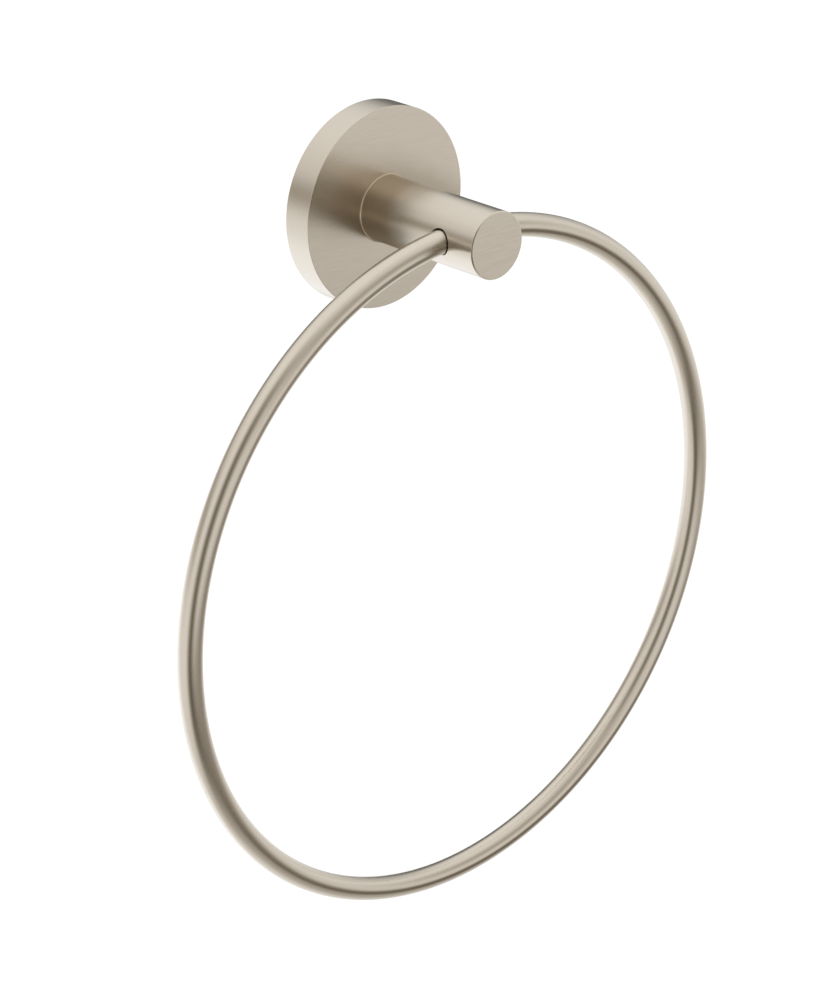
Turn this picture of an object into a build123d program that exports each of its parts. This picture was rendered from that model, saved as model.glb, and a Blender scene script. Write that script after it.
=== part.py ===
from build123d import *
from math import asin, cos, degrees, radians
import os

# Towel ring for a wall: a round rose, a straight post and a ring of round rod that hangs loose in the post.
# Millimetres. The wall is the plane Y = 0, the post runs towards -Y, +Z is up and X = 0 splits the part evenly.
# The origin is the middle of the rose's back, on the wall.

# Ring: one rod bent to an open circle, with a short straight stub at each end
rod_diameter = 6.4
ring_outer_diameter = 193.0
ring_setback = 12.1  # from the post's end face back to the plane that the ring hangs in
stub_straight = 6.0  # from the post's axis to where a stub starts to bend
stub_bend_radius = 30.0
stub_end_bevel = 0.5

# Post: a turned bar with a blind socket on each side for the ring's stubs
post_diameter = 18.0
projection = 50.0  # from the wall to the post's end face
post_end_bevel = 0.35
post_foot_bevel = 0.3
socket_clearance = 0.4  # radial, round the rod, so that the ring swings freely
socket_web = 6.4  # solid metal between the floors of the two sockets
socket_edge_break = 0.12
stub_end_gap = 0.4  # from a stub's end to the flat floor of its socket

# Post screw and split washer: they pull the post onto the rose from behind
post_screw_diameter = 6.0
post_screw_length = 16.0  # under the head
post_screw_head_diameter = 10.5
post_screw_head_height = 3.3
post_screw_head_edge = 0.5  # straight edge under the bevelled side of the head
post_screw_crown = 6.4  # diameter of the flat on top of the head
post_screw_hex = 4.0  # across flats
post_screw_hex_depth = 2.0
post_screw_tip_bevel = 0.6
post_screw_wall_gap = 0.5  # from the head to the wall
thread_clearance = 0.05  # radial, between a screw and its tapped hole
tapped_overrun = 2.0  # tapped hole past the screw's tip
washer_outer_diameter = 11.8
washer_thickness = 1.6
washer_bore_clearance = 0.15  # radial
washer_slit = 1.0
washer_slit_slant = 25.0  # degrees

# Rose: a turned cup that hides the bracket, with a shallow seat for the post in its face
rose_diameter = 54.4
rose_face_wall = 3.0
rose_skirt_wall = 3.2
rose_edge_bevel = 0.35
post_seat_depth = 1.0
post_seat_clearance = 0.05  # radial
post_seat_bevel = 0.3  # the fine line round the post's foot
screw_hole_clearance = 0.3  # radial, round the post screw in the rose's face

# Set screw: a cone-point grub screw in the underside of the rose, with its tip on the bracket's slanted rim
set_screw_diameter = 4.0
set_screw_hex = 2.0  # across flats
set_screw_hex_depth = 1.6
set_screw_end_bevel = 0.3
set_screw_inset = 0.6  # from the rose's rim in to the screw's outer end
set_screw_tip_gap = 0.2
set_screw_edge = 0.95  # metal between the screw's hole and the rose's back

# Wall bracket: a disc inside the rose with a rim that narrows to the wall, and two countersunk holes
bracket_clearance = 0.4  # radial, inside the rose
bracket_face_gap = 0.6  # from the bracket's front to the inside of the rose's face
bracket_undercut = 2.4  # how much smaller the bracket's radius is at the wall
window_clearance = 2.9  # radial, round the split washer
wall_screw_hole_diameter = 4.5
wall_screw_sink_diameter = 8.6
wall_screw_sink_angle = 90.0

# Ring places: a bend turns each stub into the hoop, so both are tangent where they meet
rod_radius = rod_diameter / 2
ring_radius = (ring_outer_diameter - rod_diameter) / 2
ring_standoff = projection - ring_setback
stub_end = socket_web / 2 + stub_end_gap
stub_bend = degrees(asin(stub_straight / (ring_radius - stub_bend_radius)))
ring_drop = (ring_radius - stub_bend_radius) * cos(radians(stub_bend)) + stub_bend_radius

# Depths from the wall: the cup is as deep as the screw head and washer that it hides
cup_depth = washer_thickness + post_screw_head_height + post_screw_wall_gap
rose_depth = cup_depth + rose_face_wall
post_foot = rose_depth - post_seat_depth
post_screw_seat = cup_depth - washer_thickness
post_screw_tip = post_screw_seat + post_screw_length
tapped_end = post_screw_tip + tapped_overrun
bracket_thickness = cup_depth - bracket_face_gap

# Radii about the post's axis
post_radius = post_diameter / 2
seat_radius = post_radius + post_seat_clearance
rose_radius = rose_diameter / 2
cup_radius = rose_radius - rose_skirt_wall
bracket_radius = cup_radius - bracket_clearance
bracket_back_radius = bracket_radius - bracket_undercut
window_radius = washer_outer_diameter / 2 + window_clearance
wall_screw_spacing = window_radius + bracket_back_radius
post_screw_radius = post_screw_diameter / 2
post_screw_head_radius = post_screw_head_diameter / 2
tapped_radius = post_screw_radius + thread_clearance
screw_hole_radius = post_screw_radius + screw_hole_clearance
washer_bore_radius = post_screw_radius + washer_bore_clearance

# Sockets and set screw, about their own axes
socket_radius = rod_radius + socket_clearance
socket_depth = post_radius - socket_web / 2
set_screw_radius = set_screw_diameter / 2
set_screw_hole_radius = set_screw_radius + thread_clearance
set_screw_standoff = set_screw_edge + set_screw_hole_radius
set_screw_outer = rose_radius - set_screw_inset
rim_at_set_screw = bracket_back_radius + bracket_undercut * set_screw_standoff / bracket_thickness
set_screw_tip = rim_at_set_screw + set_screw_tip_gap
set_screw_axis = Axis((0, -set_screw_standoff, 0), (0, 0, 1))

os.makedirs("parts", exist_ok=True)

# Ring: stub, bend, hoop, bend and stub in one sweep
with BuildPart() as ring:
    with BuildLine(Plane.XZ.offset(ring_standoff)) as ring_path:
        Line((stub_end, 0), (stub_straight, 0))
        CenterArc((stub_straight, -stub_bend_radius), stub_bend_radius, 90, -stub_bend)
        CenterArc((0, -ring_drop), ring_radius, 90 - stub_bend, 2 * stub_bend - 360)
        CenterArc((-stub_straight, -stub_bend_radius), stub_bend_radius, 90 + stub_bend, -stub_bend)
        Line((-stub_straight, 0), (-stub_end, 0))
    with BuildSketch(Plane(origin=ring_path.line @ 0, z_dir=ring_path.line % 0)):
        Circle(rod_radius)
    sweep(path=ring_path.line)
    chamfer(ring.faces().filter_by(Axis.X).edges(), stub_end_bevel)
ring.part.label = "ring"
export_step(ring.part, "parts/ring.step")

# Turned pieces are drawn as half-sections, radius against Y, and turned about the Y axis.

# Post: turned with its blind tapped hole, then drilled from both sides for the stubs
with BuildPart() as post:
    with BuildSketch():
        with BuildLine():
            Polyline(
                (tapped_radius, -post_foot),
                (post_radius - post_foot_bevel, -post_foot),
                (post_radius, -post_foot - post_foot_bevel),
                (post_radius, post_end_bevel - projection),
                (post_radius - post_end_bevel, -projection),
                (0, -projection),
                (0, -tapped_end),
                (tapped_radius, -tapped_end),
                close=True,
            )
        make_face()
    revolve(axis=Axis.Y)
    for side in (-1, 1):
        with Locations(Plane((side * post_radius, -ring_standoff, 0), z_dir=(side, 0, 0))):
            Hole(socket_radius, depth=socket_depth)
    chamfer(post.edges().filter_by(GeomType.BSPLINE), socket_edge_break)
post.part.label = "post"
export_step(post.part, "parts/post.step")

# Post screw: a low socket-head screw
with BuildPart() as post_screw:
    with BuildSketch():
        with BuildLine():
            Polyline(
                (0, -post_screw_wall_gap),
                (0, -post_screw_tip),
                (post_screw_radius - post_screw_tip_bevel, -post_screw_tip),
                (post_screw_radius, post_screw_tip_bevel - post_screw_tip),
                (post_screw_radius, -post_screw_seat),
                (post_screw_head_radius, -post_screw_seat),
                (post_screw_head_radius, post_screw_head_edge - post_screw_seat),
                (post_screw_crown / 2, -post_screw_wall_gap),
                close=True,
            )
        make_face()
    revolve(axis=Axis.Y)
    with BuildSketch(Plane.XZ.offset(post_screw_wall_gap)):
        RegularPolygon(post_screw_hex / 2, 6, major_radius=False)
    extrude(amount=post_screw_hex_depth, mode=Mode.SUBTRACT)
post_screw.part.label = "post_screw"
export_step(post_screw.part, "parts/post_screw.step")

# Split washer: pressed flat, with a slanted slit at its top
with BuildPart() as lock_washer:
    with BuildSketch(Plane.XZ.offset(post_screw_seat)):
        Circle(washer_outer_diameter / 2)
        Circle(washer_bore_radius, mode=Mode.SUBTRACT)
    extrude(amount=washer_thickness)
    with BuildSketch():
        with Locations((0, -post_screw_seat - washer_thickness / 2)):
            Rectangle(washer_slit, 2 * washer_thickness, rotation=washer_slit_slant)
    extrude(amount=washer_outer_diameter, mode=Mode.SUBTRACT)
lock_washer.part.label = "lock_washer"
export_step(lock_washer.part, "parts/lock_washer.step")

# Rose: a turned cup with the post's seat, drilled from below for the set screw
with BuildPart() as rose:
    with BuildSketch():
        with BuildLine():
            Polyline(
                (screw_hole_radius, -post_foot),
                (seat_radius, -post_foot),
                (seat_radius, post_seat_bevel - rose_depth),
                (seat_radius + post_seat_bevel, -rose_depth),
                (rose_radius - rose_edge_bevel, -rose_depth),
                (rose_radius, rose_edge_bevel - rose_depth),
                (rose_radius, 0),
                (cup_radius, 0),
                (cup_radius, -cup_depth),
                (screw_hole_radius, -cup_depth),
                close=True,
            )
        make_face()
    revolve(axis=Axis.Y)
    with Locations(Plane((0, -set_screw_standoff, -rose_radius), x_dir=(1, 0, 0), z_dir=(0, 0, -1))):
        Hole(set_screw_hole_radius, depth=2 * rose_skirt_wall)
rose.part.label = "rose"
export_step(rose.part, "parts/rose.step")

# Set screw: its point bears on the bracket's slanted rim, which draws the rose to the wall
with BuildPart() as rose_set_screw:
    with BuildSketch(Plane.XZ.offset(set_screw_standoff)):
        with BuildLine():
            Polyline(
                (0, -set_screw_tip),
                (set_screw_radius, -set_screw_tip - set_screw_radius),
                (set_screw_radius, set_screw_end_bevel - set_screw_outer),
                (set_screw_radius - set_screw_end_bevel, -set_screw_outer),
                (0, -set_screw_outer),
                close=True,
            )
        make_face()
    revolve(axis=set_screw_axis)
    with BuildSketch(Plane((0, -set_screw_standoff, -set_screw_outer), x_dir=(1, 0, 0), z_dir=(0, 0, 1))):
        RegularPolygon(set_screw_hex / 2, 6, major_radius=False)
    extrude(amount=set_screw_hex_depth, mode=Mode.SUBTRACT)
rose_set_screw.part.label = "rose_set_screw"
export_step(rose_set_screw.part, "parts/rose_set_screw.step")

# Wall bracket: a turned disc with a slanted rim and a window for the post screw's head
with BuildPart() as wall_bracket:
    with BuildSketch():
        with BuildLine():
            Polyline(
                (window_radius, 0),
                (bracket_back_radius, 0),
                (bracket_radius, -bracket_thickness),
                (window_radius, -bracket_thickness),
                close=True,
            )
        make_face()
    revolve(axis=Axis.Y)
    with Locations(Plane.XZ.offset(bracket_thickness)):
        with GridLocations(wall_screw_spacing, 0, 2, 1):
            CounterSinkHole(
                wall_screw_hole_diameter / 2,
                wall_screw_sink_diameter / 2,
                depth=bracket_thickness,
                counter_sink_angle=wall_screw_sink_angle,
            )
wall_bracket.part.label = "wall_bracket"
export_step(wall_bracket.part, "parts/wall_bracket.step")
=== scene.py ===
"""Towel ring in satin nickel: the looks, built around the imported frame.

Lengths are metres in the frame of the solids. The wall is the plane Y = 0, the post runs towards -Y and +Z
is up. Turned pieces are drawn as outlines of radius against depth, and depth is the distance from the wall.
"""

import logging
import math
from abc import ABC, abstractmethod
from dataclasses import dataclass, field
from enum import Enum, IntEnum
from functools import partial
from typing import Any, Callable, ClassVar, Sequence

import bpy
import numpy as np
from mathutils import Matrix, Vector
from numpy.typing import ArrayLike

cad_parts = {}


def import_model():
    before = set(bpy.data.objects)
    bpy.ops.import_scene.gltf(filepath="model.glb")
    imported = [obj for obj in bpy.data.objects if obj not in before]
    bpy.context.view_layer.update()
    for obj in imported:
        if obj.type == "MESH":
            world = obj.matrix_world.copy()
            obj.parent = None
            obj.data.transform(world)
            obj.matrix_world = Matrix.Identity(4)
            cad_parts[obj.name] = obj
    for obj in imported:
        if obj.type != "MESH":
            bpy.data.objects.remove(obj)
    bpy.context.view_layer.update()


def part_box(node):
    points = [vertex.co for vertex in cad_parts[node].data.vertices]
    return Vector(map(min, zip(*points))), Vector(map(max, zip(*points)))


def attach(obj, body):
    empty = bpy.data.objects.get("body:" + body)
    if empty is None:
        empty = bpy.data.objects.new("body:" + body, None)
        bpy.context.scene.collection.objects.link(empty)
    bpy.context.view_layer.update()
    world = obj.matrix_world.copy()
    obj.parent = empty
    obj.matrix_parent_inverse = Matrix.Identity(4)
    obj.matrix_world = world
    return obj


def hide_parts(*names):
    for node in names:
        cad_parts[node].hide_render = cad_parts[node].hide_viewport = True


LOG = logging.getLogger("towel_ring")
MM = 0.001
FULL_TURN = 2 * math.pi
BOTH_SIDES = (FULL_TURN / 4, FULL_TURN * 3 / 4)
BELOW = FULL_TURN / 2
SCREW_SIDES = 72
WHITE = (1.0, 1.0, 1.0)
Triple = tuple[float, float, float]
Faced = tuple[np.ndarray, np.ndarray]
Surface = Callable[[np.ndarray, np.ndarray], Faced]
Edge = Callable[[np.ndarray], np.ndarray]


class Body(Enum):
    """The bodies that pieces ride on."""

    FIXED = "wall_fixing"
    SWINGING = "hanging_ring"


class Slot(Enum):
    """The record's material slots."""

    NICKEL = "satin_nickel"
    ZINC = "zinc_plate"
    STEEL = "screw_steel"


class Look(IntEnum):
    """The numbers of a piece's looks."""

    MAIN = 0
    SIDE = 1
    EDGE = 2


class Brush(Enum):
    """Which way the fine lines of a finish run."""

    LEVEL = "level lines across a flat face"
    ROUND_POST = "lines round the post's axis"
    ROUND_ROD = "lines round the rod of the ring"
    PLAIN = "fine grain with no direction"


class Tint(Enum):
    """How much of a flag's shade red, green and blue get."""

    WARM = (0.935, 1.0, 1.09)
    FAINT = (0.96, 1.0, 1.055)
    NEUTRAL = (1.0, 1.0, 1.0)


def link(name: str, data: bpy.types.ID) -> bpy.types.Object:
    """Makes an object and links it to the scene.

    Args:
        name: The object's name.
        data: Its mesh, lamp or camera.

    Returns:
        The object.
    """
    made = bpy.data.objects.new(name, data)
    bpy.context.scene.collection.objects.link(made)
    return made


class Skin:
    """A closed mesh of sheets of points that share their seams, with an exact normal at every corner."""

    WELD = 1e-7

    def __init__(self) -> None:
        """Starts an empty mesh."""
        self.vertices: list[Triple] = []
        self.faces: list[list[int]] = []
        self.normals: list[np.ndarray] = []
        self.looks: list[int] = []
        self._found: dict[tuple[int, ...], int] = {}

    def _vertex(self, point: np.ndarray) -> int:
        """Finds the vertex at a point, or makes it.

        Args:
            point: The point.

        Returns:
            The vertex's number.
        """
        key = tuple(np.rint(point / self.WELD).astype(int).tolist())
        if key not in self._found:
            self._found[key] = len(self.vertices)
            self.vertices.append(tuple(point.tolist()))
        return self._found[key]

    def sheet(
        self, points: np.ndarray, normals: np.ndarray, look: Look = Look.MAIN, keep: np.ndarray | None = None
    ) -> None:
        """Adds rows of quads, or triangles where points fall together.

        Args:
            points: The sheet's points, as rows, columns and coordinates.
            normals: The outward normal at each point, in the same layout.
            look: The number of the sheet's look.
            keep: Which cells of the sheet are built, or None for all.
        """
        points, normals = np.broadcast_arrays(np.asarray(points, float), np.asarray(normals, float))
        rows, columns = points.shape[:2]
        numbers = np.array([[self._vertex(p) for p in row] for row in points])
        facing = np.cross(points[1:, 1:] - points[:-1, :-1], points[:-1, 1:] - points[1:, :-1])
        outward = normals[1:, 1:] + normals[:-1, :-1] + normals[:-1, 1:] + normals[1:, :-1]
        flipped = (facing * outward).sum(axis=-1) < 0
        for i in range(rows - 1):
            for j in range(columns - 1):
                if keep is not None and not keep[i, j]:
                    continue
                corners: dict[int, tuple[int, int]] = {}
                for place in ((i, j), (i + 1, j), (i + 1, j + 1), (i, j + 1)):
                    corners.setdefault(int(numbers[place]), place)
                if len(corners) < 3:
                    continue
                order = list(corners.items())
                if flipped[i, j]:
                    order.reverse()
                self.faces.append([number for number, _ in order])
                self.normals.extend(normals[place] for _, place in order)
                self.looks.append(int(look))

    def band(self, first: np.ndarray, last: np.ndarray, normals: np.ndarray, look: Look = Look.MAIN) -> None:
        """Adds the strip between two rows of points."""
        self.sheet(np.stack([first, last]), normals, look)

    def build(self, name: str, materials: Sequence[bpy.types.Material]) -> bpy.types.Object:
        """Makes the object.

        Args:
            name: The piece's name.
            materials: The looks, in the order of their numbers.

        Returns:
            The new object, linked to the scene.
        """
        mesh = bpy.data.meshes.new(name)
        mesh.from_pydata(self.vertices, [], self.faces)
        for material in materials:
            mesh.materials.append(material)
        mesh.polygons.foreach_set("material_index", self.looks)
        mesh.polygons.foreach_set("use_smooth", [True] * len(self.faces))
        normals = np.array(self.normals)
        mesh.normals_split_custom_set((normals / np.linalg.norm(normals, axis=1)[:, None]).tolist())
        mesh.update()
        return link(name, mesh)


@dataclass(frozen=True)
class Corner:
    """One corner of a turned outline.

    Attributes:
        radius: Distance from the axis.
        height: Distance along the axis.
        rounding: Radius of the arc that replaces the corner, or 0.
    """

    radius: float
    height: float
    rounding: float = 0.0


@dataclass(frozen=True)
class Stretch:
    """A stretch of a turned outline, as radius and height, with its outward normals."""

    points: np.ndarray
    normals: np.ndarray


def outline(corners: Sequence[Corner], arc_steps: int = 6) -> list[Stretch]:
    """Turns corners into stretches: a straight one between two corners, and an arc at each rounded corner.

    Args:
        corners: The outline's corners, with the metal on the right as it runs.
        arc_steps: How many steps an arc has.

    Returns:
        The stretches, in order.
    """
    spots = [np.array([c.radius, c.height]) for c in corners]
    ways = [(b - a) / np.linalg.norm(b - a) for a, b in zip(spots, spots[1:])]
    outward = [np.array([-w[1], w[0]]) for w in ways]
    starts, ends = list(spots[:-1]), list(spots[1:])
    arcs: dict[int, Stretch] = {}
    for k in range(1, len(spots) - 1):
        rounding = corners[k].rounding
        if not rounding:
            continue
        turn = math.acos(max(-1.0, min(1.0, float(ways[k - 1] @ ways[k]))))
        reach = rounding * math.tan(turn / 2)
        ends[k - 1] = spots[k] - reach * ways[k - 1]
        starts[k] = spots[k] + reach * ways[k]
        shares = np.linspace(0, 1, arc_steps + 1)[:, None]
        normals = np.sin((1 - shares) * turn) * outward[k - 1] + np.sin(shares * turn) * outward[k]
        normals /= np.linalg.norm(normals, axis=1)[:, None]
        bulges = ways[k - 1][0] * ways[k][1] < ways[k - 1][1] * ways[k][0]
        offset = rounding if bulges else -rounding
        arcs[k] = Stretch(ends[k - 1] + offset * (normals - outward[k - 1]), normals)
    made = []
    for k, way_out in enumerate(outward):
        if k in arcs:
            made.append(arcs[k])
        made.append(Stretch(np.array([starts[k], ends[k]]), np.array([way_out, way_out])))
    return made


@dataclass(frozen=True)
class Spindle:
    """An axis that outlines are turned about.

    Attributes:
        origin: Where heights start.
        along: The way that heights run.
        start: The way that angles start from.
    """

    origin: Triple
    along: Triple
    start: Triple

    def ways(self, radial: ArrayLike, axial: ArrayLike, angles: ArrayLike) -> np.ndarray:
        """Turns outward and axial parts into vectors.

        Args:
            radial: The parts that point away from the axis.
            axial: The parts along the axis.
            angles: The turns about the axis.

        Returns:
            The vectors, with coordinates in the last place.
        """
        radial, axial, angles = np.broadcast_arrays(radial, axial, angles)
        start, along = np.array(self.start), np.array(self.along)
        side = np.cross(start, along)
        across = np.cos(angles)[..., None] * start + np.sin(angles)[..., None] * side
        return radial[..., None] * across + axial[..., None] * along

    def points(self, radii: ArrayLike, heights: ArrayLike, angles: ArrayLike) -> np.ndarray:
        """Places points by radius, height and turn."""
        return np.array(self.origin) + self.ways(radii, heights, angles)

    def wall(self, radius: float, outward: float, turns: np.ndarray, heights: np.ndarray) -> Faced:
        """Gives points and normals on a round wall, which is seen from inside where outward is -1."""
        return self.points(radius, heights, turns), self.ways(outward, 0.0, turns)

    def flat(self, height: float, facing: float, turns: np.ndarray, radii: np.ndarray) -> Faced:
        """Gives points and normals on a flat across the axis, which faces along it or, at -1, back."""
        return self.points(radii, height, turns), self.ways(0.0, facing, turns)

    def turn(
        self, skin: Skin, stretches: Sequence[Stretch], angles: np.ndarray, look: Look = Look.MAIN
    ) -> None:
        """Adds stretches of an outline, turned about the axis.

        Args:
            skin: The mesh that they are added to.
            stretches: The stretches of the outline.
            angles: The turns to place them at.
            look: The number of their look.
        """
        for stretch in stretches:
            points = self.points(stretch.points[:, :1], stretch.points[:, 1:], angles)
            skin.sheet(points, self.ways(stretch.normals[:, :1], stretch.normals[:, 1:], angles), look)


POST_AXIS = Spindle(origin=(0.0, 0.0, 0.0), along=(0.0, -1.0, 0.0), start=(0.0, 0.0, 1.0))
INTO_WALL = (0.0, 1.0, 0.0)


@dataclass(frozen=True)
class PiercedSheet:
    """A turned sheet with a row of round holes, each in a square window of the sheet's grid.

    Its coordinates are the turn about the post's axis and the place: a depth on a round wall, a radius on a
    flat. Angles round a hole start from the way of growing places and go towards falling turns.

    Attributes:
        surface: Gives points and normals for turns and places.
        turns: The turns of the grid's columns.
        before: The places of the rows before the windows.
        last: The place of the last row.
        middle: The place of the holes' middles.
        reach: From there to a window's first and last row.
        half: Columns from a hole's middle to its window's border.
        scale: Metres for one radian of turn.
        look: The number of the sheet's look.
    """

    FILL_STEPS: ClassVar[int] = 8

    surface: Surface
    turns: np.ndarray
    before: Sequence[float]
    last: float
    middle: float
    reach: float
    half: int
    scale: float
    look: Look = Look.MAIN

    def add(self, skin: Skin, holes: dict[float, Edge]) -> list[np.ndarray]:
        """Adds the sheet and fills each window up to its hole.

        Args:
            skin: The mesh that it is added to.
            holes: For the turn of each hole, what gives the hole's edge for angles round it.

        Returns:
            For each hole, the angles round it at which its edge has points.
        """
        window = np.linspace(self.middle - self.reach, self.middle + self.reach, 2 * self.half + 1)
        rows = np.concatenate([self.before, window, [self.last]])
        keep = np.ones((len(rows) - 1, len(self.turns) - 1), bool)
        starts = [round(turn / FULL_TURN * (len(self.turns) - 1)) - self.half for turn in holes]
        for start in starts:
            keep[len(self.before):-1, start:start + 2 * self.half] = False
        skin.sheet(*self.surface(*np.meshgrid(self.turns, rows)), self.look, keep)
        shares = np.linspace(0, 1, self.FILL_STEPS + 1)[:, None, None]
        found = []
        for start, (turn, edge) in zip(starts, holes.items()):
            columns = self.turns[start:start + 2 * self.half + 1]
            border = [(u, window[0]) for u in columns] + [(columns[-1], v) for v in window[1:]]
            border += [(u, window[-1]) for u in columns[-2::-1]] + [(columns[0], v) for v in window[-2::-1]]
            offsets = (np.array(border) - (turn, self.middle)) * (self.scale, 1.0)
            angles = np.unwrap(np.arctan2(-offsets[:, 0], offsets[:, 1]))
            grid = (1 - shares) * np.array(border) + shares * edge(angles)
            skin.sheet(*self.surface(grid[..., 0], grid[..., 1]), self.look)
            found.append(angles)
        return found


@dataclass(frozen=True)
class CrossHole:
    """A round hole through a turned wall, square to the post's axis.

    Attributes:
        turn: Where the hole is about the post's axis.
        depth: The depth of its own axis.
    """

    turn: float
    depth: float

    def axis(self) -> Spindle:
        """Gives the hole's own axis, which runs outward, with angles that start along the post."""
        out = POST_AXIS.ways(1.0, 0.0, self.turn)
        return Spindle(tuple(POST_AXIS.points(0.0, self.depth, 0.0)), tuple(out), POST_AXIS.along)

    def edge(self, wall: float, radius: float, angles: np.ndarray) -> np.ndarray:
        """Gives the turns and depths of an edge of one radius on a wall of another."""
        turns = self.turn - np.arcsin(radius * np.sin(angles) / wall)
        return np.stack([turns, self.depth + radius * np.cos(angles)], axis=-1)

    def height(self, wall: float, radius: float, angles: np.ndarray) -> np.ndarray:
        """Gives how far out along the hole's axis that edge is."""
        return np.sqrt(wall**2 - (radius * np.sin(angles)) ** 2)


@dataclass(frozen=True)
class HexSocket:
    """A hexagon socket in the flat end of a screw.

    Attributes:
        flats: Width across flats.
        mouth: Height of its mouth on the screw's axis.
        floor: Height of its floor.
    """

    CORNERS: ClassVar[int] = 6

    flats: float
    mouth: float
    floor: float

    def add(self, skin: Skin, spindle: Spindle, crown: float, first_corner: float) -> None:
        """Adds the flat round the socket, its walls and its floor.

        Args:
            skin: The screw's mesh.
            spindle: The screw's axis.
            crown: Radius of the flat end.
            first_corner: The turn of the hexagon's first corner.
        """
        ends = spindle.ways(0.0, math.copysign(1.0, self.mouth - self.floor), 0.0)
        half_side = FULL_TURN / self.CORNERS / 2
        offsets = np.linspace(-half_side, half_side, SCREW_SIDES // self.CORNERS + 1)
        hexagon = self.flats / 2 / np.cos(offsets)
        for side in range(self.CORNERS):
            middle = first_corner + (side + 0.5) * FULL_TURN / self.CORNERS
            angles = middle + offsets
            rim = spindle.points(hexagon, self.mouth, angles)
            foot = spindle.points(hexagon, self.floor, angles)
            skin.band(spindle.points(crown, self.mouth, angles), rim, ends)
            skin.band(rim, foot, spindle.ways(-1.0, 0.0, middle))
            skin.band(foot, spindle.points(0.0, self.floor, angles), ends)


@dataclass(frozen=True)
class Thread:
    """A screw thread whose groove fades out at both ends.

    GROOVE and CREST are the groove's depth and the crest's width as shares of the pitch.

    Attributes:
        radius: Radius over the crests.
        pitch: Distance from crest to crest.
        start: Height where the thread starts.
        end: Height where it ends.
        end_bevel: Bevel at the end, or 0.
    """

    GROOVE: ClassVar[float] = 0.6134
    CREST: ClassVar[float] = 1 / 8
    FLANK_SLANT: ClassVar[float] = math.radians(30)

    radius: float
    pitch: float
    start: float
    end: float
    end_bevel: float = 0.0

    def add(self, skin: Skin, spindle: Spindle, angles: np.ndarray) -> None:
        """Adds the thread.

        Args:
            skin: The screw's mesh.
            spindle: The screw's axis.
            angles: One turn of angles.
        """
        groove = self.GROOVE * self.pitch
        flank = groove * math.tan(self.FLANK_SLANT) / self.pitch
        marks = np.array([0.0, self.CREST, self.CREST + flank, 1 - flank, 1.0])
        cuts = np.array([0.0, 0.0, groove, groove, 0.0])
        turns = angles / FULL_TURN
        for lap in range(-1, math.ceil((self.end - self.start) / self.pitch)):
            for a in range(len(marks) - 1):
                rows = lap + marks[a:a + 2][:, None] + turns
                heights = np.clip(self.start + self.pitch * rows, self.start, self.end)
                place = np.mod((heights - self.start) / self.pitch - turns, 1.0)
                ease = np.minimum(heights - self.start, self.end - heights) / (self.pitch / 2)
                radii = self.radius - np.interp(place, marks, cuts) * np.clip(ease, 0.0, 1.0)
                radii = np.minimum(radii, self.radius - self.end_bevel + self.end - heights)
                slope = (cuts[a + 1] - cuts[a]) / (self.pitch * (marks[a + 1] - marks[a]))
                skin.sheet(spindle.points(radii, heights, angles), spindle.ways(1.0, slope, angles))


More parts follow.
